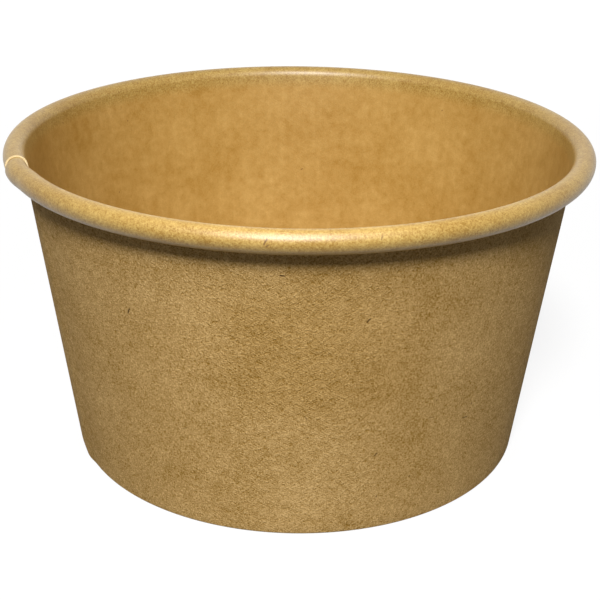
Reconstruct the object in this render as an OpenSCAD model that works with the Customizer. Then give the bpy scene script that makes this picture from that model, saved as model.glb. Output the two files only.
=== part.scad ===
// Round kraft-board soup container: a rolled sidewall and a recessed base disc.
// Millimetres, +Z up, origin on the table under the middle of the container.
// The sections are drawn in a plane that leans with the wall, from the middle of the rolled
// rim: there x points out of the container, square to the wall, and y runs up the wall.

/* [Overall] */
// Outer diameter over the rolled rim
rim_d = 115; // [95:1:150]
// Height from the table to the top of the rim
height = 63.4; // [45:0.1:120]
// Diameter of the wall's outer face where it meets the table
base_d = 92; // [80:1:93]

/* [Board] */
// Thickness of the sidewall's board
wall_board = 0.42; // [0.3:0.01:0.5]
// Thickness of the base disc's board
base_board = 0.38; // [0.3:0.01:0.5]

/* [Rolled rim] */
// Outer diameter of the curl's round section
curl_d = 4.2; // [3.6:0.1:6]
// Gap that the tucked end leaves to the wall inside the curl
curl_gap = 0.15; // [0.1:0.01:0.3]
// How far round the tucked end runs on past the wall, inside the curl
tuck_turn = 60; // [20:5:120]

/* [Base] */
// Height of the floor's upper face above the table
floor_z = 8; // [7.8:0.1:20]
// Outer radius of the bend between the floor and its skirt
floor_bend_r = 0.8; // [0.6:0.05:1.2]
// Height of the hem that is folded up inside, from the middle of its fold
hem_h = 5.6; // [2:0.1:5.8]
// Width of the flat that pressing leaves under the fold
foot_w = 0.5; // [0.2:0.05:0.6]

/* [Side seam] */
// Direction of the inner end's cut edge, seen from above, anticlockwise from +X
seam_dir = 199.3; // [0:0.1:360]
// Width of the overlap
seam_lap = 7.5; // [4:0.5:14]
// Arc over which the outer end steps out over the inner end
step_arc = 14; // [12:1:40]
// Depth that welds touching layers of one sheet together
weld = 0.02; // [0.01:0.01:0.05]

/* [Hidden] */
$fn = 96;

kraft_outside = [0.72, 0.57, 0.38];
kraft_inside = [0.76, 0.56, 0.32];

rim_r = rim_d / 2;
base_r = base_d / 2;

// The curl's centre, in the section plane of the container
curl_r = curl_d / 2;
curl_x = rim_r - curl_r;
curl_z = height - curl_r;

// The faces of the layers, from the curl's centre inwards
wall_out = wall_board - curl_r;
wall_in = -curl_r;
skirt_in = wall_in - base_board;
hem_in = skirt_in - wall_board;

// The wall's outer face starts at the base radius and passes inside the curl's centre
lean = atan((curl_x - base_r) / curl_z) + asin(wall_out / norm([curl_x - base_r, curl_z]));

// The curl tightens under its centre, so that its tucked end passes clear of the wall
tuck_shift = wall_board + curl_gap;
tuck_r = curl_r - tuck_shift;

// The fold at the bottom, pressed a little flat where it stands on the table
fold_r = wall_board + base_board / 2;
fold_x = wall_out - fold_r;
fold_z = sqrt(fold_r ^ 2 - (foot_w / 2) ^ 2);
wall_len = down_wall(fold_z, fold_x);

// The bend of the base disc, and the height at which its skirt starts
bend_in = wall_in - floor_bend_r;
bend_z = floor_z - floor_bend_r;
bend_down = down_wall(bend_z, bend_in);
bend_x = curl_x + bend_in * cos(lean) - bend_down * sin(lean);
skirt_len = wall_len - bend_down;

// The outer end steps out by one board about a centre beyond the container's axis
mean_r = (rim_r + base_r) / 2;
lap_arc = seam_lap / mean_r * 180 / PI;
stepped_r = mean_r + wall_board;
step_shift = (stepped_r ^ 2 - mean_r ^ 2) / (2 * (mean_r - stepped_r * cos(step_arc)));
step_dir = seam_dir + step_arc;

reach = rim_r + curl_d;

// Distance down the wall from the curl's centre to height z, at this place out from the centre
function down_wall(z, out) = (curl_z - out * sin(lean) - z) / cos(lean);

// Puts a drawing made along the wall into the container's own section
module leaning() {
    translate([curl_x, curl_z])
        rotate(-lean)
            children();
}

// A piece of a ring, from one angle anticlockwise through a turn
module ring_arc(outer, inner, from, turn) {
    intersection() {
        difference() {
            circle(outer);
            circle(inner);
        }
        sector(2 * outer, from, turn);
    }
}

// A pie piece that covers a turn of up to a whole one
module sector(size, from, turn) {
    steps = ceil(turn / 60);
    rim = [for (i = [0 : steps]) from + turn * i / steps];
    polygon(concat([[0, 0]], [for (a = rim) size * [cos(a), sin(a)]]));
}

// Keeps what stands on or above the table
module above_table() {
    intersection() {
        children();
        square([reach, height + curl_d]);
    }
}

// Section of the sidewall: rolled rim with its tucked end, wall, fold and hem
module wall_section() {
    above_table()
        leaning() {
            ring_arc(curl_r, curl_r - wall_board, -90, 270);
            translate([0, -tuck_shift])
                ring_arc(tuck_r, tuck_r - wall_board, -180 - tuck_turn, 90 + tuck_turn);
            translate([wall_in, -wall_len])
                square([wall_board, wall_len]);
            translate([fold_x, -wall_len])
                ring_arc(fold_r, fold_r - wall_board, 180, 180);
            translate([hem_in, -wall_len])
                square([wall_board, hem_h]);
        }
}

// Section of the second layer at the side seam, on the board's uncoated face
module lap_section() {
    above_table()
        leaning() {
            ring_arc(weld - wall_out, -wall_out - wall_board, -90, 270);
            translate([wall_out - weld, -wall_len])
                square([wall_board + weld, wall_len]);
            translate([fold_x, -wall_len])
                ring_arc(fold_r + wall_board, fold_r - weld, 180, 180);
            translate([hem_in - wall_board, -wall_len])
                square([wall_board + weld, hem_h]);
        }
}

// Everything that lies under a rounded corner of this radius about the bend's centre
module under_bend(r) {
    leaning()
        translate([bend_in, -bend_down]) {
            circle(r);
            translate([0, -skirt_len])
                square([r, skirt_len]);
        }
    translate([0, bend_z - floor_bend_r])
        square([bend_x, floor_bend_r + r]);
}

// Section of the base disc: floor, bend and skirt
module disc_section() {
    difference() {
        under_bend(floor_bend_r);
        under_bend(floor_bend_r - base_board);
    }
}

// A wedge from the container's axis, between two directions less than a right angle apart
module wedge(from, to) {
    translate([0, 0, -curl_d])
        linear_extrude(height + 2 * curl_d)
            polygon([[0, 0], reach * [cos(from), sin(from)], reach * [cos(to), sin(to)]]);
}

// Sweeps a section once round an axis that stands this far behind the container's own
module turned(behind = 0) {
    translate([-behind, 0, 0])
        rotate(90)
            rotate_extrude()
                translate([behind, 0])
                    children();
}

// The sweeps below are drawn with +X at the place where the outer end starts to step out

// Sweeps a section round the container, stepping out by one board before the seam
module around() {
    difference() {
        turned()
            children();
        wedge(-step_arc, 0);
    }
    intersection() {
        turned(step_shift)
            children();
        wedge(-step_arc, 0);
    }
}

// Sweeps a section over the width of the overlap
module across_lap() {
    intersection() {
        turned()
            children();
        wedge(-step_arc - lap_arc, -step_arc);
    }
}

module sidewall() {
    color(kraft_outside)
        rotate(step_dir) {
            around()
                wall_section();
            across_lap()
                lap_section();
        }
}

module base_disc() {
    color(kraft_inside)
        rotate(step_dir)
            around()
                disc_section();
}

sidewall();
base_disc();
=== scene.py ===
"""Kraft-board soup container with a rolled rim, standing on a pale floor."""

import logging
import math
from collections.abc import Callable, Mapping, Sequence
from dataclasses import dataclass
from enum import Enum
from typing import ClassVar

import bpy
from mathutils import Matrix, Vector


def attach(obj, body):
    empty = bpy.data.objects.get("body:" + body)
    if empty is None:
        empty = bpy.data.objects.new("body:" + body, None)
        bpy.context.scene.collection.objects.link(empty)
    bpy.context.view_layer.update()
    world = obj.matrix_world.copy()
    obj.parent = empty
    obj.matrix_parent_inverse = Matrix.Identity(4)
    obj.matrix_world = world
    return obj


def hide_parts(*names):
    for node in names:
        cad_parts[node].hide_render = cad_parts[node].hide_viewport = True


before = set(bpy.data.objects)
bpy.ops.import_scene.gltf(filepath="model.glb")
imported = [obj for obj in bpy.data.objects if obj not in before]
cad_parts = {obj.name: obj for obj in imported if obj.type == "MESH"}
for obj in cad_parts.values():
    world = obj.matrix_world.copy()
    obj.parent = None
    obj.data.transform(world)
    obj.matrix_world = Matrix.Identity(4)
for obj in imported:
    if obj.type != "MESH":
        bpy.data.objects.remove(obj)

log = logging.getLogger("container")
logging.basicConfig(level=logging.INFO, format="%(name)s: %(message)s")

MM = 0.001
UNROLLED = "UVMap"
FULL_TURN = 360.0

# Six even directions for the board's fibres, and how fast they change along and across, per mm
GOLDEN = (1 + math.sqrt(5)) / 2
FIBRE_WAYS = (
    (0, 1, GOLDEN),
    (0, -1, GOLDEN),
    (1, GOLDEN, 0),
    (-1, GOLDEN, 0),
    (GOLDEN, 0, 1),
    (-GOLDEN, 0, 1),
)
FIBRE_ALONG = 0.55
FIBRE_ACROSS = 4.8


class Face(Enum):
    """The kinds of surface that the board shows."""

    COATED = 0
    RAW = 1
    CUT = 2


class Value:
    """A number that a node tree works out, with Python's own operators."""

    def __init__(self, graph: "Graph", socket: bpy.types.NodeSocket) -> None:
        """Wraps one output socket of a tree."""
        self.graph = graph
        self.socket = socket

    def __add__(self, other: "Number") -> "Value":
        """This and the other."""
        return self.graph.math("ADD", self, other)

    __radd__ = __add__

    def __sub__(self, other: "Number") -> "Value":
        """This less the other."""
        return self.graph.math("SUBTRACT", self, other)

    def __rsub__(self, other: "Number") -> "Value":
        """The other less this."""
        return self.graph.math("SUBTRACT", other, self)

    def __mul__(self, other: "Number") -> "Value":
        """This times the other."""
        return self.graph.math("MULTIPLY", self, other)

    __rmul__ = __mul__

    def __truediv__(self, other: "Number") -> "Value":
        """This over the other."""
        return self.graph.math("DIVIDE", self, other)

    def __abs__(self) -> "Value":
        """This without its sign."""
        return self.graph.math("ABSOLUTE", self)

    def sine(self) -> "Value":
        """Sine of an angle in radians."""
        return self.graph.math("SINE", self)

    def cosine(self) -> "Value":
        """Cosine of an angle in radians."""
        return self.graph.math("COSINE", self)

    def at_least(self, floor: "Number") -> "Value":
        """This, or the floor where that is more."""
        return self.graph.math("MAXIMUM", self, floor)

    def over(self, limit: "Number") -> "Value":
        """One where this is more than the limit, and zero elsewhere."""
        return self.graph.math("GREATER_THAN", self, limit)

    def share(self, start: float, end: float) -> "Value":
        """Straight ramp from 0 at the start to 1 at the end, and level outside."""
        return self.graph.ramp(self, start, end, "LINEAR")

    def ease(self, start: float, end: float) -> "Value":
        """Smooth ramp from 0 at the start to 1 at the end, and level outside."""
        return self.graph.ramp(self, start, end, "SMOOTHSTEP")


Number = Value | float
Input = Value | float | int | bool | str | Sequence[float] | bpy.types.ID


class Graph:
    """Adds nodes to one tree, for shaders and geometry alike."""

    def __init__(self, tree: bpy.types.NodeTree) -> None:
        """Starts from an empty tree."""
        self.tree = tree
        tree.nodes.clear()

    def node(
        self,
        kind: str,
        settings: Mapping[str, object] | None = None,
        inputs: Mapping[str | int, Input] | None = None,
    ) -> bpy.types.Node:
        """Adds one node.

        Args:
            kind: The node's type name.
            settings: Its own settings, made before any input is touched.
            inputs: A constant or a value to link, by socket name or number.

        Returns:
            The new node.
        """
        made = self.tree.nodes.new(kind)
        for name, setting in (settings or {}).items():
            setattr(made, name, setting)
        for name, given in (inputs or {}).items():
            if isinstance(given, Value):
                self.tree.links.new(given.socket, made.inputs[name])
            else:
                made.inputs[name].default_value = given
        return made

    def value(
        self,
        kind: str,
        output: str | int = 0,
        settings: Mapping[str, object] | None = None,
        inputs: Mapping[str | int, Input] | None = None,
    ) -> Value:
        """Adds one node and gives the named output of it."""
        return Value(self, self.node(kind, settings, inputs).outputs[output])

    def math(self, operation: str, *numbers: Number) -> Value:
        """One sum on numbers."""
        return self.value("ShaderNodeMath", 0, {"operation": operation}, dict(enumerate(numbers)))

    def ramp(self, number: Value, start: float, end: float, form: str) -> Value:
        """Ramp from 0 to 1 between two values of a number."""
        return self.value(
            "ShaderNodeMapRange",
            0,
            {"interpolation_type": form, "clamp": True},
            {"Value": number, "From Min": start, "From Max": end},
        )

    def vector(self, x: Number = 0.0, y: Number = 0.0, z: Number = 0.0) -> Value:
        """Three numbers as a vector."""
        return self.value("ShaderNodeCombineXYZ", 0, None, {0: x, 1: y, 2: z})

    def split(self, vector: Value) -> tuple[Value, Value, Value]:
        """The three numbers of a vector."""
        made = self.node("ShaderNodeSeparateXYZ", None, {0: vector})
        return tuple(Value(self, made.outputs[i]) for i in range(3))

    def mapped(self, vector: Value, scale: Sequence[float], turn: Sequence[float] = (0, 0, 0)) -> Value:
        """A vector turned by angles in degrees and then stretched."""
        turned = self.value(
            "ShaderNodeMapping",
            0,
            {"vector_type": "POINT"},
            {"Vector": vector, "Rotation": tuple(math.radians(a) for a in turn)},
        )
        return self.value(
            "ShaderNodeVectorMath", 0, {"operation": "MULTIPLY"}, {0: turned, 1: tuple(scale)}
        )

    def noise(self, vector: Value, scale: float, detail: float = 2.0, rough: float = 0.5) -> Value:
        """Soft noise around one half."""
        return self.value(
            "ShaderNodeTexNoise",
            0,
            {"noise_dimensions": "3D"},
            {"Vector": vector, "Scale": scale, "Detail": detail, "Roughness": rough},
        )

    def blend(self, share: Number, a: Input, b: Input, way: str = "MIX") -> Value:
        """Mixes two colours."""
        return self.value(
            "ShaderNodeMix",
            2,
            {"data_type": "RGBA", "blend_type": way, "clamp_factor": True},
            {0: share, 6: a, 7: b},
        )


def linear(red: int, green: int, blue: int) -> tuple[float, float, float, float]:
    """Scene colour of a screen colour that is written with numbers up to 255."""

    def one(level: float) -> float:
        """One channel."""
        return level / 12.92 if level <= 0.04045 else ((level + 0.055) / 1.055) ** 2.4

    return (*(one(c / 255) for c in (red, green, blue)), 1.0)


@dataclass(frozen=True)
class Container:
    """Sizes of the container, in millimetres and degrees, as its CAD model has them."""

    rim_d: float = 115.0
    height: float = 63.4
    base_d: float = 92.0
    wall_board: float = 0.42
    base_board: float = 0.38
    curl_d: float = 4.2
    tuck_shift: float = 0.57
    tuck_turn: float = 60.0
    floor_z: float = 8.0
    bend_r: float = 0.8
    hem_h: float = 5.6
    foot_w: float = 0.5
    seam_dir: float = 199.3
    seam_lap: float = 7.5

    @property
    def curl_r(self) -> float:
        """Outer radius of the curl's section."""
        return self.curl_d / 2

    @property
    def curl_x(self) -> float:
        """Distance of the curl's centre from the axis."""
        return self.rim_d / 2 - self.curl_r

    @property
    def curl_z(self) -> float:
        """Height of the curl's centre."""
        return self.height - self.curl_r

    @property
    def lean(self) -> float:
        """Lean of the wall from upright, in radians."""
        run, face = self.curl_x - self.base_d / 2, self.curl_r - self.wall_board
        return math.atan(run / self.curl_z) - math.asin(face / math.hypot(run, self.curl_z))

    @property
    def wall_mid(self) -> float:
        """Place of the wall's middle line, out from the curl's centre."""
        return self.wall_board / 2 - self.curl_r

    @property
    def hem_mid(self) -> float:
        """Place of the hem's middle line, out from the curl's centre."""
        return self.wall_mid - self.wall_board - self.base_board

    @property
    def fold_r(self) -> float:
        """Radius of the fold's middle line."""
        return (self.wall_mid - self.hem_mid) / 2

    @property
    def wall_len(self) -> float:
        """Distance down the wall from the curl's centre to the fold's."""
        outer = self.fold_r + self.wall_board / 2
        fold_z = math.sqrt(outer**2 - (self.foot_w / 2) ** 2)
        return self.down_wall(fold_z, self.hem_mid + self.fold_r)

    @property
    def lap_turn(self) -> float:
        """Angle that the overlap covers."""
        return math.degrees(self.seam_lap / ((self.rim_d + self.base_d) / 4))

    def down_wall(self, z: float, out: float) -> float:
        """Distance down the wall to a height, at a place out from the curl's centre."""
        return (self.curl_z - out * math.sin(self.lean) - z) / math.cos(self.lean)


@dataclass(frozen=True)
class Straight:
    """A flat stretch of board."""

    length: Number
    steps: int


@dataclass(frozen=True)
class Bend:
    """A bent stretch of board. The turn is in degrees, to the left where it is positive."""

    radius: Number
    turn: float
    steps: int


Stretch = Straight | Bend


@dataclass(frozen=True)
class Lie:
    """Where a point of the board's middle line lies, and the board's heading there."""

    x: Value
    y: Value
    heading: Value

    def beside(self, offset: Value) -> tuple[Value, Value]:
        """The point this far to the left of the middle line."""
        return self.x - self.heading.sine() * offset, self.y + self.heading.cosine() * offset


def trace(start: tuple[Number, Number], heading: float, along: Value, path: Sequence[Stretch]) -> Lie:
    """Follows a board's middle line through its stretches.

    Args:
        start: The first point, in millimetres.
        heading: The first heading, in degrees from +X.
        along: How many steps of the path have been passed.
        path: The stretches in their order.

    Returns:
        The point that far along, and the heading there.
    """
    graph = along.graph
    (x, y), passed, facing = start, 0, math.radians(heading)
    headed: Number = facing
    for stretch in path:
        part = along.share(passed, passed + stretch.steps)
        if isinstance(stretch, Straight):
            x = x + part * stretch.length * math.cos(facing)
            y = y + part * stretch.length * math.sin(facing)
        else:
            turn = math.radians(stretch.turn)
            radius = stretch.radius * math.copysign(1.0, turn)
            now = part * turn + facing
            x = x + radius * (now.sine() - math.sin(facing))
            y = y - radius * (now.cosine() - math.cos(facing))
            headed = part * turn + headed
            facing += turn
        passed += stretch.steps
    return Lie(x, y, headed if isinstance(headed, Value) else graph.math("ADD", headed, 0.0))


def steps_of(path: Sequence[Stretch]) -> int:
    """Steps in a whole path."""
    return sum(stretch.steps for stretch in path)


class Shape:
    """A piece whose mesh a node tree works out by rule."""

    # Faces that meet at more than this angle keep a sharp edge between them, in degrees
    SHARP = 40.0
    # The flat board runs from minus to plus one half, and beyond this depth lies its skin
    SKIN = 0.49

    def __init__(self, name: str, materials: Mapping[Face, bpy.types.Material]) -> None:
        """Prepares an empty tree.

        Args:
            name: The piece's name.
            materials: Finish of each kind of surface.
        """
        self.name = name
        self.materials = materials
        tree = bpy.data.node_groups.new(name, "GeometryNodeTree")
        faces = tree.interface
        faces.new_socket("Geometry", in_out="INPUT", socket_type="NodeSocketGeometry")
        faces.new_socket("Geometry", in_out="OUTPUT", socket_type="NodeSocketGeometry")
        self.given: dict[str, float | int] = {}
        self.graph = Graph(tree)
        self.entry = self.graph.node("NodeGroupInput")

    def input(self, name: str, given: float | int, kind: str = "NodeSocketFloat") -> Value:
        """Adds a named input to the tree and notes what the piece gives it."""
        self.graph.tree.interface.new_socket(name, in_out="INPUT", socket_type=kind)
        self.given[name] = given
        return Value(self.graph, self.entry.outputs[name])

    def store(self, mesh: Value, name: str, kind: str, domain: str, given: Value) -> Value:
        """Keeps a field on the mesh under a name."""
        return self.graph.value(
            "GeometryNodeStoreNamedAttribute",
            0,
            {"data_type": kind, "domain": domain},
            {"Geometry": mesh, "Name": name, "Value": given},
        )

    def kind(self, depth: Value) -> Value:
        """The number in Face of each face of the flat board, by its depth in the board."""
        skin = abs(depth).over(self.SKIN)
        raw = skin * (1.0 - depth.over(0.0))
        return (1.0 - skin) * float(Face.CUT.value) + raw * float(Face.RAW.value)

    def finish(self, mesh: Value, face: Value, place: Value, flip: bool) -> bpy.types.Object:
        """Moves the mesh to its place, gives it its finishes and makes it plain.

        Args:
            mesh: The mesh while it still lies flat.
            face: The kind of each face, as its number in Face.
            place: Where each point goes, in millimetres.
            flip: Whether that turns the faces inside out.

        Returns:
            The finished piece, at the origin.
        """
        graph = self.graph
        mesh = self.store(mesh, "face", "FLOAT", "FACE", face)
        mesh = graph.value(
            "GeometryNodeSetPosition",
            0,
            None,
            {
                "Geometry": mesh,
                "Position": graph.value(
                    "ShaderNodeVectorMath", 0, {"operation": "SCALE"}, {0: place, "Scale": MM}
                ),
            },
        )
        if flip:
            mesh = graph.value("GeometryNodeFlipFaces", 0, None, {"Mesh": mesh})
        edge_angle = graph.value("GeometryNodeInputMeshEdgeAngle", "Unsigned Angle")
        mesh = graph.value(
            "GeometryNodeSetShadeSmooth", 0, {"domain": "FACE"}, {"Geometry": mesh, "Shade Smooth": True}
        )
        mesh = graph.value(
            "GeometryNodeSetShadeSmooth",
            0,
            {"domain": "EDGE"},
            {
                "Geometry": mesh,
                "Selection": edge_angle.over(math.radians(self.SHARP)),
                "Shade Smooth": False,
            },
        )
        mesh = graph.value("GeometryNodeRealizeInstances", 0, None, {"Geometry": mesh})
        kind = graph.value("GeometryNodeInputNamedAttribute", 0, {"data_type": "FLOAT"}, {"Name": "face"})
        for side, material in self.materials.items():
            chosen = graph.math("COMPARE", kind, float(side.value), 0.5)
            mesh = graph.value(
                "GeometryNodeSetMaterial",
                0,
                None,
                {"Geometry": mesh, "Selection": chosen, "Material": material},
            )
        graph.node("NodeGroupOutput", None, {"Geometry": mesh})
        return self._baked()

    def _baked(self) -> bpy.types.Object:
        """The tree's result as a plain mesh object."""
        source = bpy.data.objects.new(self.name + "_rule", bpy.data.meshes.new(self.name + "_rule"))
        bpy.context.scene.collection.objects.link(source)
        rule = source.modifiers.new("rule", "NODES")
        rule.node_group = self.graph.tree
        for item in self.graph.tree.interface.items_tree:
            if getattr(item, "in_out", "") == "INPUT" and item.name in self.given:
                rule[item.identifier] = self.given[item.name]
        bpy.context.view_layer.update()
        result = source.evaluated_get(bpy.context.evaluated_depsgraph_get())
        mesh = bpy.data.meshes.new_from_object(result)
        mesh.name = self.name
        bpy.data.objects.remove(source)
        piece = bpy.data.objects.new(self.name, mesh)
        bpy.context.scene.collection.objects.link(piece)
        log.info("%s: %d faces, %d materials", self.name, len(mesh.polygons), len(mesh.materials))
        return piece


class Seam:
    """How the side seam moves the board, by the angle from the inner end round to the outer."""

    # Thickness of the glue in millimetres, and the share that the board keeps where it is pressed
    GLUE = 0.006
    PRESSED = 0.8

    # Where each change starts and ends, in degrees before the outer end has gone once round
    STEP = (10.5, 4.6)
    NEST = (2.7, 0.2)
    DOUBLE = (7.0, 1.0)
    LIFT = (6.5, 0.6)

    # Where two of them start and end to fade, in degrees past the overlap
    DOUBLE_FADE = (0.3, 7.0)
    LIFT_FADE = (0.2, 5.0)

    def __init__(self, sizes: Container, turn: Value) -> None:
        """Works out the seam's measures for one angle.

        Args:
            sizes: The container's sizes.
            turn: Degrees round the board from its inner end.
        """
        past_lap = [tuple(sizes.lap_turn + a for a in fade) for fade in (self.DOUBLE_FADE, self.LIFT_FADE)]
        self.board = sizes.wall_board * self.PRESSED + self.GLUE
        self.out = self.rise(turn, self.STEP)
        self.nested = self.rise(turn, self.NEST)
        self.doubled = self.rise(turn, self.DOUBLE) + 1.0 - turn.ease(*past_lap[0])
        self.lift = self.rise(turn, self.LIFT) + 1.0 - turn.ease(*past_lap[1])
        self.thickness = sizes.wall_board * (1.0 - self.lift * (1.0 - self.PRESSED))

    @staticmethod
    def rise(turn: Value, span: tuple[float, float]) -> Value:
        """Smooth rise from 0 to 1 over a span before the whole turn."""
        return turn.ease(FULL_TURN - span[0], FULL_TURN - span[1])


class Sidewall:
    """The one blank that is wall, rolled rim, fold and hem, with its ends lapped."""

    SEED = 11
    # Stretches round the board are finer up to the first of these degrees and again past the second
    FINER = (16.0, 346.0)
    STEPS_AROUND = (40, 276, 54)
    # How far the board lies off its true line, and how far the seam lifts the fold, in millimetres
    UNEVEN = 0.05
    LIFT = 0.47
    # Where the unevenness fades, along the wall from the curl's centre, in millimetres
    SWAY_LOW = (-58.0, -48.0)
    SWAY_HIGH = (-4.0, 0.0)
    # The noise behind it: radius of its path round the container, rise per millimetre, scale, detail
    SWAY_PATH = 2.2
    SWAY_RISE = 0.03
    SWAY_SCALE = 1.3
    SWAY_DETAIL = 1.5

    def __init__(self, sizes: Container, materials: Mapping[Face, bpy.types.Material]) -> None:
        """Takes the sizes and the finishes."""
        self.sizes = sizes
        self.shape = Shape("sidewall_board", materials)
        ends = (0.0, *self.FINER, round(FULL_TURN + sizes.lap_turn, 4))
        self.around = tuple(zip(ends, ends[1:], self.STEPS_AROUND))

    def build(self) -> bpy.types.Object:
        """Makes the sidewall's mesh."""
        shape, graph, sizes = self.shape, self.shape.graph, self.sizes
        seed = shape.input("Seed", self.SEED, "NodeSocketInt")
        seam_dir = shape.input("Seam direction", sizes.seam_dir)
        uneven = shape.input("Unevenness", self.UNEVEN)
        lift = shape.input("Lift at the seam", self.LIFT)
        around = sum(self.STEPS_AROUND)
        path_steps = steps_of(self._path(1.0, 1.0, 1.0))
        flat = graph.value(
            "GeometryNodeMeshCube",
            0,
            None,
            {
                "Size": (1.0, 1.0, 1.0),
                "Vertices X": around + 1,
                "Vertices Y": path_steps + 1,
                "Vertices Z": 3,
            },
        )
        u, v, w = graph.split(graph.value("GeometryNodeInputPosition"))
        turn, passed = self._turn((u + 0.5) * around), (v + 0.5) * path_steps
        seam = Seam(sizes, turn)
        # The raised fold at the overlap keeps both layers above the table
        raised = seam.lift * lift
        lie = trace(
            (sizes.hem_mid - seam.out * seam.board, raised + sizes.hem_h - sizes.wall_len),
            -90.0,
            passed,
            self._path(
                sizes.fold_r + seam.out * seam.board,
                sizes.curl_r - sizes.wall_board / 2 - seam.nested * seam.board,
                sizes.curl_r - sizes.tuck_shift - sizes.wall_board / 2
                - (seam.nested + seam.doubled) * seam.board,
                raised,
            ),
        )
        bearing = (seam_dir - turn) * math.radians(1.0)
        sway = self._sway(bearing, lie.y, uneven, seed)
        # The coated face keeps its place where the board is pressed thinner
        out, up = lie.beside(sizes.wall_board / 2 - (0.5 - w) * seam.thickness + sway)
        lean = sizes.lean
        radius = out * math.cos(lean) + up * math.sin(lean) + sizes.curl_x
        height = (up * math.cos(lean) - out * math.sin(lean) + sizes.curl_z).at_least(0.0)
        place = graph.vector(radius * bearing.cosine(), radius * bearing.sine(), height)
        flat = shape.store(
            flat, UNROLLED, "FLOAT2", "CORNER", graph.vector(turn / FULL_TURN, passed / path_steps)
        )
        return shape.finish(flat, shape.kind(w), place, flip=True)

    def _path(self, fold_r: Number, curl_r: Number, tuck_r: Number, raised: Number = 0.0) -> list[Stretch]:
        """The board's middle line from the hem's edge to the tucked end."""
        sizes = self.sizes
        return [
            Straight(sizes.hem_h, 4),
            Bend(fold_r, 180.0, 16),
            Straight(sizes.wall_len - raised, 26),
            Bend(curl_r, -270.0, 42),
            Bend(tuck_r, -90.0 - sizes.tuck_turn, 18),
        ]

    def _turn(self, step: Value) -> Value:
        """Degrees round the board after some steps, which are short near the seam."""
        turned: Number = 0.0
        passed = 0
        for start, end, steps in self.around:
            turned = step.share(passed, passed + steps) * (end - start) + turned
            passed += steps
        return turned

    def _sway(self, bearing: Value, along: Value, uneven: Value, seed: Value) -> Value:
        """How far the board lies off its true line, which is nothing below the wall."""
        graph = bearing.graph
        spot = graph.vector(
            bearing.cosine() * self.SWAY_PATH + seed,
            bearing.sine() * self.SWAY_PATH,
            along * self.SWAY_RISE,
        )
        wave = graph.noise(spot, self.SWAY_SCALE, self.SWAY_DETAIL)
        on_wall = along.ease(*self.SWAY_LOW) * (1.0 - along.ease(*self.SWAY_HIGH))
        return (wave - 0.5) * uneven * 2.0 * on_wall


class BaseDisc:
    """The floor of the container with its bend and its skirt."""

    SIDES = 288
    # How far the floor sags in its middle, and how far the skirt ends above the fold, in millimetres
    SAG = 0.2
    SKIRT_GAP = 0.75
    # The skirt follows the wall's step by this share of its board, and grows into it along the path
    STEP_SHARE = 0.96
    STEP_GROWS = (14.0, 24.0)
    # Degrees over which the skirt steps back, up to the whole turn
    STEP_BACK = (1.8, 0.0)

    def __init__(self, sizes: Container, materials: Mapping[Face, bpy.types.Material]) -> None:
        """Takes the sizes and the finishes."""
        self.sizes = sizes
        self.shape = Shape("base_board", materials)

    def build(self) -> bpy.types.Object:
        """Makes the base disc's mesh."""
        shape, graph, sizes = self.shape, self.shape.graph, self.sizes
        seam_dir = shape.input("Seam direction", sizes.seam_dir)
        sag = shape.input("Sag of the floor", self.SAG)
        bend_in = -sizes.curl_r - sizes.bend_r
        bend_z = sizes.floor_z - sizes.bend_r
        down = sizes.down_wall(bend_z, bend_in)
        bend_x = sizes.curl_x + bend_in * math.cos(sizes.lean) - down * math.sin(sizes.lean)
        path = [
            Straight(bend_x, 20),
            Bend(sizes.bend_r - sizes.base_board / 2, -90.0 - math.degrees(sizes.lean), 12),
            Straight(sizes.wall_len - down - self.SKIRT_GAP, 6),
        ]
        rings = steps_of(path)
        flat = graph.value(
            "GeometryNodeMeshCylinder",
            0,
            {"fill_type": "TRIANGLE_FAN"},
            {
                "Vertices": self.SIDES,
                "Side Segments": 1,
                "Fill Segments": rings,
                "Radius": 1.0,
                "Depth": 1.0,
            },
        )
        x, y, w = graph.split(graph.value("GeometryNodeInputPosition"))
        share = graph.math("SQRT", x * x + y * y)
        bearing = graph.math("ARCTAN2", y, x)
        passed = share * rings
        turn = graph.math("FLOORED_MODULO", seam_dir - bearing * math.degrees(1.0), FULL_TURN)
        stepped = Seam.rise(turn, Seam.STEP) * (1.0 - Seam.rise(turn, self.STEP_BACK))
        lie = trace((0.0, sizes.floor_z - sizes.base_board / 2), 0.0, passed, path)
        out, up = lie.beside(w * sizes.base_board)
        floor_share = share * (rings / path[0].steps)
        dish = sag * (1.0 - floor_share * floor_share).at_least(0.0)
        reach = out + stepped * (sizes.wall_board * self.STEP_SHARE) * passed.ease(*self.STEP_GROWS)
        place = graph.vector(reach * bearing.cosine(), reach * bearing.sine(), up - dish)
        flat = shape.store(
            flat, UNROLLED, "FLOAT2", "CORNER", graph.vector(x * 0.5 + 0.5, y * 0.5 + 0.5)
        )
        return shape.finish(flat, shape.kind(w), place, flip=False)


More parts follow.
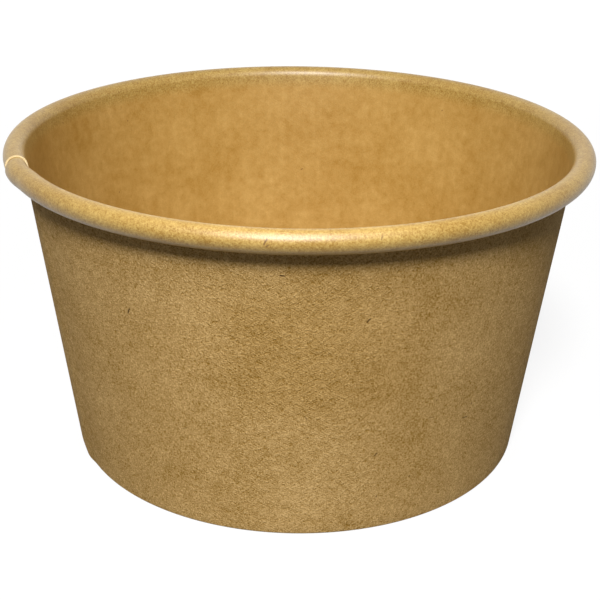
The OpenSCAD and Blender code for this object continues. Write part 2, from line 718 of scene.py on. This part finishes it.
@dataclass(frozen=True)
class Fleck:
    """A dark fibre at a known place of the outer wall or the curl, or a crease there that is painted
    shade, a dark line in the colour.

    The place is a height on the wall, or an angle on the curl from 0 outward to 90 at the top.
    """

    bearing: float
    place: float
    length: float
    width: float
    tilt: float
    strength: float
    on_curl: bool = False

    def frame(self, sizes: Container) -> tuple[Vector, Vector, Vector, Vector]:
        """The fleck's middle, its own direction, the direction across it and the board's normal."""
        bearing = math.radians(self.bearing)
        outward = Vector((math.cos(bearing), math.sin(bearing), 0.0))
        around, top = Vector((-outward.y, outward.x, 0.0)), Vector((0.0, 0.0, 1.0))
        slope = math.radians(self.place) if self.on_curl else -sizes.lean
        normal = outward * math.cos(slope) + top * math.sin(slope)
        if self.on_curl:
            middle = outward * sizes.curl_x + top * sizes.curl_z + normal * sizes.curl_r
        else:
            middle = outward * (sizes.base_d / 2 + self.place * math.tan(sizes.lean)) + top * self.place
        up = top * math.cos(slope) - outward * math.sin(slope)
        tilt = math.radians(self.tilt)
        along = around * math.cos(tilt) + up * math.sin(tilt)
        return middle, along, normal.cross(along), normal


@dataclass(frozen=True)
class Patch:
    """A soft stain in the board, around a bearing and a height on the wall."""

    # Noise that makes its edge ragged and how much, where it fades, and its tint
    RAGGED: ClassVar[tuple[float, float, float]] = (0.09, 2.0, 0.6)
    RAGGED_BY: ClassVar[float] = 1.6
    FADE: ClassVar[tuple[float, float]] = (0.1, 1.3)
    TINT: ClassVar[tuple[int, int, int]] = (205, 190, 128)

    bearing: float
    height: float
    wide: float
    high: float
    strength: float


@dataclass(frozen=True)
class Kraft:
    """Look of one face of kraft board.

    Colours are screen colours: the light pulp, the dark pulp, the flecks of bark, the painted shade
    that darkens the top-lit curl and the known marks. Cloud, grain, strokes, fibres and streaks are how
    strongly each shows, curled is how much stronger the fine ones are on the curl, and the bump is in
    millimetres.
    """

    name: str
    colour: tuple[int, int, int]
    shade: tuple[int, int, int]
    fibre: tuple[int, int, int]
    cloud: float
    grain: float
    strokes: float
    fibres: float
    streaks: float
    roughness: float
    gloss: float
    bump: float
    curled: float = 0.0
    curl_painted_shade: tuple[int, int, int] = (255, 255, 255)
    curl_coat: float = 0.0
    mark: tuple[int, int, int] = (58, 32, 8)
    flecks: tuple[Fleck, ...] = ()
    patches: tuple[Patch, ...] = ()


class BoardFinish:
    """Makes the material of one face of the board. Scales are for each millimetre."""

    # Scale, detail and roughness of the clouds in the pulp, from wide to fine
    CLOUD = (0.07, 2.0, 0.5)
    MOTTLE = (0.5, 2.0, 0.6)
    GRAIN = (2.4, 2.0, 0.7)

    # How much the mottle adds to the bump, and the grain to the roughness
    MOTTLE_BUMP = 0.5
    GRAIN_ROUGHNESS = 0.1

    # The curl's own look, with its painted shade, grows over this height, in millimetres below the curl's
    # centre
    CURL_BELOW = 3.0
    CURL_COAT_ROUGHNESS = 0.42

    # Curly fibres: a way off for their noise, its scale, detail and roughness, and their width in it
    HAIR_SHIFT = (57.0, 39.9, -57.0)
    HAIR_NOISE = (0.9, 1.0, 0.4)
    HAIR_WIDTH = 0.022
    HAIR_WHERE = (-0.02, 0.1)

    # Flecks of bark: turns in degrees, stretch, size of the core, where its soft edge ends, strength
    SPECK_TURNS = ((20, 35, 10), (70, -20, 60), (-35, 80, 15))
    SPECK_STRETCH = (0.05, 0.13, 0.13)
    SPECK_CORE = 0.012
    SPECK_EDGES = (0.022, 0.026, 0.03)
    SPECK_STRENGTH = 0.75

    # Upright lines: how often they come round the board and along it, wide and then fine
    STREAKS_WIDE = (120.0, 5.0)
    STREAKS_FINE = (420.0, 9.0)
    STREAKS_LEVEL = 0.12

    # A fleck bows by this share of its length and keeps within this depth, in millimetres
    FLECK_BOW = 0.1
    FLECK_DEPTH = 0.3

    def __init__(self, look: Kraft, sizes: Container) -> None:
        """Takes the look, and the sizes that place the known flecks."""
        self.look = look
        self.sizes = sizes
        self.material = bpy.data.materials.new(look.name)
        self.material.use_nodes = True
        self.graph = Graph(self.material.node_tree)

    def build(self) -> bpy.types.Material:
        """Lays the whole tree."""
        graph, look = self.graph, self.look
        spot = graph.value("ShaderNodeTexCoord", "Object")
        spot = graph.value("ShaderNodeVectorMath", 0, {"operation": "SCALE"}, {0: spot, "Scale": 1 / MM})
        cloud, mottle, grain = (
            graph.noise(spot, *noise) - 0.5 for noise in (self.CLOUD, self.MOTTLE, self.GRAIN)
        )
        strokes = self._strokes(spot)
        hair = self._hair(spot) * mottle.ease(*self.HAIR_WHERE)
        fine = grain * look.grain + strokes * look.strokes - hair * look.fibres
        curl = graph.split(spot)[2].ease(self.sizes.curl_z - self.CURL_BELOW, self.sizes.curl_z)
        fine = fine * (curl * look.curled + 1.0)
        tone = (cloud + mottle) * look.cloud + fine
        colour = graph.blend((tone + 0.5).share(0.0, 1.0), linear(*look.shade), linear(*look.colour))
        # Painted shade: the curl's colour is darkened to tone down the light that the top of the rim
        # catches
        colour = graph.blend(curl, colour, linear(*look.curl_painted_shade), "MULTIPLY")
        if look.streaks:
            colour = self._streaked(colour)
        for patch in look.patches:
            colour = self._stained(colour, spot, patch)
        colour = graph.blend(self._specks(spot) * self.SPECK_STRENGTH, colour, linear(*look.fibre))
        if look.flecks:
            colour = graph.blend(self._marks(spot), colour, linear(*look.mark))
        normal = graph.value(
            "ShaderNodeBump",
            0,
            None,
            {
                "Strength": 1.0,
                "Distance": look.bump * MM,
                "Height": mottle * self.MOTTLE_BUMP + grain + strokes,
            },
        )
        rough = grain * self.GRAIN_ROUGHNESS + look.roughness
        surface = graph.value(
            "ShaderNodeBsdfPrincipled",
            0,
            None,
            {
                "Base Color": colour,
                "Roughness": rough,
                "Normal": normal,
                "Coat Weight": curl * look.curl_coat,
                "Coat Roughness": self.CURL_COAT_ROUGHNESS,
                "Specular IOR Level": look.gloss,
            },
        )
        graph.node("ShaderNodeOutputMaterial", None, {"Surface": surface})
        log.info("finish %s: %d nodes", look.name, len(graph.tree.nodes))
        return self.material

    def _hair(self, spot: Value) -> Value:
        """Curly fibres, which lie where a noise passes its middle level."""
        moved = self.graph.value(
            "ShaderNodeVectorMath", 0, {"operation": "ADD"}, {0: spot, 1: self.HAIR_SHIFT}
        )
        return 1.0 - abs(self.graph.noise(moved, *self.HAIR_NOISE) - 0.5).ease(0.0, self.HAIR_WIDTH)

    def _specks(self, spot: Value) -> Value:
        """Sparse dark flecks of bark, long in three directions."""
        graph = self.graph
        total: Number = 0.0
        for turn, edge in zip(self.SPECK_TURNS, self.SPECK_EDGES, strict=True):
            stretched = graph.mapped(spot, self.SPECK_STRETCH, turn)
            near = graph.value(
                "ShaderNodeTexVoronoi",
                "Distance",
                {"voronoi_dimensions": "3D", "feature": "F1"},
                {"Vector": stretched, "Scale": 1.0, "Randomness": 1.0},
            )
            total = (1.0 - near.ease(self.SPECK_CORE, edge)) + total
        return total.share(0.0, 1.0)

    def _streaked(self, colour: Value) -> Value:
        """Faint upright lines that rolling leaves on the coated face."""
        graph, look = self.graph, self.look
        u, v, _ = graph.split(graph.value("ShaderNodeUVMap", 0, {"uv_map": UNROLLED}))
        (wide_u, wide_v), (fine_u, fine_v) = self.STREAKS_WIDE, self.STREAKS_FINE
        wide = graph.noise(graph.vector(u * wide_u, v * wide_v), 1.0, 3.0, 0.6) - 0.5
        fine = graph.noise(graph.vector(u * fine_u, v * fine_v, 3.0), 1.0, 2.0, 0.6) - 0.5
        share = (wide * 1.3 + fine) * look.streaks + self.STREAKS_LEVEL
        return graph.blend(share, colour, linear(*look.shade))

    def _strokes(self, spot: Value) -> Value:
        """Short fibres that lie every way, lighter and darker than the board."""
        graph = self.graph
        total: Number = 0.0
        for index, way in enumerate(FIBRE_WAYS):
            axis = Vector(way).normalized()
            shorter = graph.value(
                "ShaderNodeVectorMath",
                0,
                {"operation": "SCALE"},
                {0: tuple(axis), "Scale": self._dot(spot, axis) * (FIBRE_ALONG - FIBRE_ACROSS)},
            )
            stretched = graph.value(
                "ShaderNodeVectorMath",
                0,
                {"operation": "MULTIPLY_ADD"},
                {0: spot, 1: (FIBRE_ACROSS,) * 3, 2: shorter},
            )
            total = graph.noise(stretched, 1.0 + 0.01 * index, 1.0, 0.5) - 0.5 + total
        return total

    def _stained(self, colour: Value, spot: Value, patch: Patch) -> Value:
        """Warms the colour within a soft patch."""
        graph, sizes = self.graph, self.sizes
        x, y, z = graph.split(spot)
        bearing = math.radians(patch.bearing)
        aside = y * math.cos(bearing) - x * math.sin(bearing)
        facing = x * math.cos(bearing) + y * math.sin(bearing)
        off_x, off_z = aside / patch.wide, (z - patch.height) / patch.high
        ragged = graph.noise(spot, *patch.RAGGED) - 0.5
        far = off_x * off_x + off_z * off_z + ragged * patch.RAGGED_BY
        share = (1.0 - far.ease(*patch.FADE)) * facing.over(0.0) * patch.strength
        return graph.blend(share, colour, linear(*patch.TINT), "MULTIPLY")

    def _marks(self, spot: Value) -> Value:
        """The flecks whose places are known."""
        total: Number = 0.0
        for fleck in self.look.flecks:
            middle, along, across, normal = fleck.frame(self.sizes)
            off = self.graph.value(
                "ShaderNodeVectorMath", 0, {"operation": "SUBTRACT"}, {0: spot, 1: tuple(middle)}
            )
            end_on, sideways, depth = (self._dot(off, axis) for axis in (along, across, normal))
            bowed = sideways + end_on * end_on * (self.FLECK_BOW / fleck.length)
            slim = 1.0 - abs(bowed).ease(fleck.width * 0.3, fleck.width)
            short = 1.0 - abs(end_on).ease(fleck.length * 0.32, fleck.length * 0.5)
            shallow = 1.0 - abs(depth).over(self.FLECK_DEPTH)
            total = slim * short * shallow * fleck.strength + total
        return total.share(0.0, 1.0)

    def _dot(self, vector: Value, axis: Vector) -> Value:
        """How far a vector reaches along an axis."""
        return self.graph.value(
            "ShaderNodeVectorMath", "Value", {"operation": "DOT_PRODUCT"}, {0: vector, 1: tuple(axis)}
        )


SIZES = Container()

OUTSIDE = Kraft(
    name="kraft_raw",
    colour=(213, 177, 119),
    shade=(136, 101, 34),
    fibre=(84, 54, 22),
    cloud=0.5,
    grain=0.7,
    strokes=0.72,
    fibres=0.2,
    streaks=0.0,
    roughness=0.8,
    gloss=0.1,
    bump=0.07,
    flecks=(
        Fleck(235.4, 43.1, 1.5, 0.2, 65, 0.9),
        Fleck(267.3, 54.4, 1.1, 0.19, -5, 0.9),
        Fleck(283.3, 45.5, 1.2, 0.19, 50, 0.9),
        Fleck(287.3, 17.2, 1.0, 0.18, 50, 0.8),
        Fleck(309.8, 20.2, 1.6, 0.2, -4, 0.7),
        Fleck(299.8, 22.9, 1.2, 0.16, -8, 0.4),
        Fleck(272.0, 26.2, 1.2, 0.14, -60, 0.4),
        Fleck(246.0, 21.3, 1.2, 0.14, 30, 0.4),
        # The long faint one is the crease, painted shade: a dark line in the colour
        Fleck(218.3, 48.0, 3.4, 0.16, -64, 0.35),
    ),
    patches=(Patch(275.0, 41.0, 23.0, 17.0, 0.3),),
)
INSIDE = Kraft(
    name="kraft_coated",
    colour=(196, 160, 95),
    shade=(143, 102, 27),
    fibre=(104, 70, 32),
    cloud=0.7,
    grain=0.35,
    strokes=0.16,
    fibres=0.05,
    streaks=0.3,
    roughness=0.42,
    gloss=0.42,
    bump=0.012,
    curled=3.4,
    # Painted shade that darkens the curl, where the top light falls on the rim
    curl_painted_shade=(233, 240, 227),
    curl_coat=0.4,
    mark=(96, 62, 12),
    flecks=(
        Fleck(264.9, 18.0, 1.4, 0.2, 62, 0.9, on_curl=True),
        Fleck(283.3, 29.0, 1.0, 0.18, 70, 0.6, on_curl=True),
    ),
)
EDGE = Kraft(
    name="kraft_cut_edge",
    colour=(232, 212, 170),
    shade=(196, 170, 120),
    fibre=(180, 150, 104),
    cloud=0.5,
    grain=0.8,
    strokes=0.5,
    fibres=0.1,
    streaks=0.0,
    roughness=0.85,
    gloss=0.1,
    bump=0.04,
)


@dataclass(frozen=True)
class Softbox:
    """A round lamp that looks at the container.

    Its bearing and elevation are in degrees, and its distance and size in metres. Without mirrored,
    it isn't seen in glossy surfaces.
    """

    name: str
    bearing: float
    elevation: float
    distance: float
    size: float
    level: float
    mirrored: bool = True

    def build(self, target: Vector) -> None:
        """Places the lamp, whose level is the brightness of a white sheet that faces it."""
        a, e = math.radians(self.bearing), math.radians(self.elevation)
        back = Vector((math.cos(a) * math.cos(e), math.sin(a) * math.cos(e), math.sin(e)))
        data = bpy.data.lights.new(self.name, "AREA")
        data.shape = "DISK"
        data.size = self.size
        data.energy = self.level * math.pi**2 * self.distance**2
        lamp = bpy.data.objects.new(self.name, data)
        lamp.location = target + back * self.distance
        lamp.visible_camera = False
        lamp.visible_glossy = self.mirrored
        lamp.rotation_mode = "QUATERNION"
        lamp.rotation_quaternion = back.to_track_quat("Z", "Y")
        bpy.context.scene.collection.objects.link(lamp)
        log.info("lamp %s: %.2f W", self.name, data.energy)


class Studio:
    """Floor, lamps, world and camera."""

    # Grey of the floor, what it glows with near the object, and the distances between which it fades
    FLOOR = 0.18
    FLOOR_GLOW = 0.82
    FLOOR_FADE = (0.2, 0.7)
    FLOOR_HALF = 3.0
    AMBIENT = 0.03
    LAMPS_AIM = (0.0, 0.0, 0.035)
    LAMPS = (
        Softbox("key", 264.0, 46.5, 3.0, 0.8, 1.29),
        Softbox("near", 268.0, 50.0, 0.117, 0.05, 0.5),
        Softbox("back", 90.0, 12.0, 1.2, 0.6, 0.4, mirrored=False),
    )

    # The fitted camera: sensor and lens in millimetres, degrees, and metres to the point it looks at
    SENSOR = 36.0
    LENS = 74.48
    ELEVATION = 23.76
    ROLL = 0.72
    DISTANCE = 0.26005
    AIM = (0.00043, 0.0, 0.02693)
    CLIP = (0.01, 20.0)

    def build(self) -> None:
        """Sets up everything around the object."""
        scene = bpy.context.scene
        scene.view_settings.view_transform = "Standard"
        self._floor()
        self._world()
        for lamp in self.LAMPS:
            lamp.build(Vector(self.LAMPS_AIM))
        self._camera()

    def _floor(self) -> None:
        """A pale floor that looks white where it is lit and keeps the shadow."""
        mesh = bpy.data.meshes.new("floor")
        half = self.FLOOR_HALF
        mesh.from_pydata(
            [(-half, -half, 0), (half, -half, 0), (half, half, 0), (-half, half, 0)], [], [(0, 1, 2, 3)]
        )
        floor = bpy.data.objects.new("floor", mesh)
        bpy.context.scene.collection.objects.link(floor)
        material = bpy.data.materials.new("floor")
        material.use_nodes = True
        graph = Graph(material.node_tree)
        seen = self._looked_at(graph)
        place = graph.value("ShaderNodeTexCoord", "Object")
        away = graph.value("ShaderNodeVectorMath", "Value", {"operation": "LENGTH"}, {0: place})
        far = away.ease(*self.FLOOR_FADE)
        here, white = (
            graph.value("ShaderNodeEmission", 0, None, {"Color": (1, 1, 1, 1), "Strength": strength})
            for strength in (self.FLOOR_GLOW, 1.0)
        )
        glow = graph.value("ShaderNodeMixShader", 0, None, {0: far, 1: here, 2: white})
        matte = graph.value(
            "ShaderNodeBsdfDiffuse", 0, None, {"Color": (self.FLOOR, self.FLOOR, self.FLOOR, 1)}
        )
        dark = graph.value("ShaderNodeEmission", 0, None, {"Strength": 0.0})
        shown = graph.value("ShaderNodeMixShader", 0, None, {0: seen, 1: dark, 2: glow})
        both = graph.value("ShaderNodeAddShader", 0, None, {0: matte, 1: shown})
        graph.node("ShaderNodeOutputMaterial", None, {"Surface": both})
        mesh.materials.append(material)

    def _world(self) -> None:
        """White to the camera and in mirrors, and a low even light elsewhere."""
        world = bpy.data.worlds.new("studio")
        bpy.context.scene.world = world
        world.use_nodes = True
        graph = Graph(world.node_tree)
        seen = self._looked_at(graph)
        ambient = graph.value(
            "ShaderNodeBackground", 0, None, {"Color": (1, 1, 1, 1), "Strength": self.AMBIENT}
        )
        white = graph.value("ShaderNodeBackground", 0, None, {"Color": (1, 1, 1, 1), "Strength": 1.0})
        sky = graph.value("ShaderNodeMixShader", 0, None, {0: seen, 1: ambient, 2: white})
        graph.node("ShaderNodeOutputWorld", None, {"Surface": sky})

    def _looked_at(self, graph: Graph) -> Value:
        """One for rays from the camera, a mirror or a glass, and zero for the light of the studio."""
        path = graph.node("ShaderNodeLightPath")
        kinds = ("Is Camera Ray", "Is Glossy Ray", "Is Transmission Ray")
        camera, glossy, through = (Value(graph, path.outputs[kind]) for kind in kinds)
        return graph.math("MAXIMUM", graph.math("MAXIMUM", camera, glossy), through)

    def _camera(self) -> None:
        """The camera of the photograph, fitted to its outline."""
        data = bpy.data.cameras.new("camera")
        data.sensor_width = self.SENSOR
        data.lens = self.LENS
        data.clip_start, data.clip_end = self.CLIP
        camera = bpy.data.objects.new("camera", data)
        bpy.context.scene.collection.objects.link(camera)
        elevation = math.radians(self.ELEVATION)
        back = Vector((0.0, -math.cos(elevation), math.sin(elevation)))
        roll = Matrix.Rotation(math.radians(self.ROLL), 3, "Z")
        turn = back.to_track_quat("Z", "Y").to_matrix() @ roll
        place = Vector(self.AIM) + back * self.DISTANCE
        camera.matrix_world = Matrix.Translation(place) @ turn.to_4x4()
        bpy.context.scene.camera = camera


def main() -> None:
    """Builds the container and the studio."""
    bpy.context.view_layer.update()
    materials = {
        Face.COATED: BoardFinish(INSIDE, SIZES).build(),
        Face.RAW: BoardFinish(OUTSIDE, SIZES).build(),
        Face.CUT: BoardFinish(EDGE, SIZES).build(),
    }
    builders: dict[str, Callable[[], bpy.types.Object]] = {
        "sidewall": Sidewall(SIZES, materials).build,
        "base_disc": BaseDisc(SIZES, materials).build,
    }
    for node, build in builders.items():
        piece = build()
        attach(piece, "root")
        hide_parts(node)
    Studio().build()


if __name__ == "__main__":
    main()
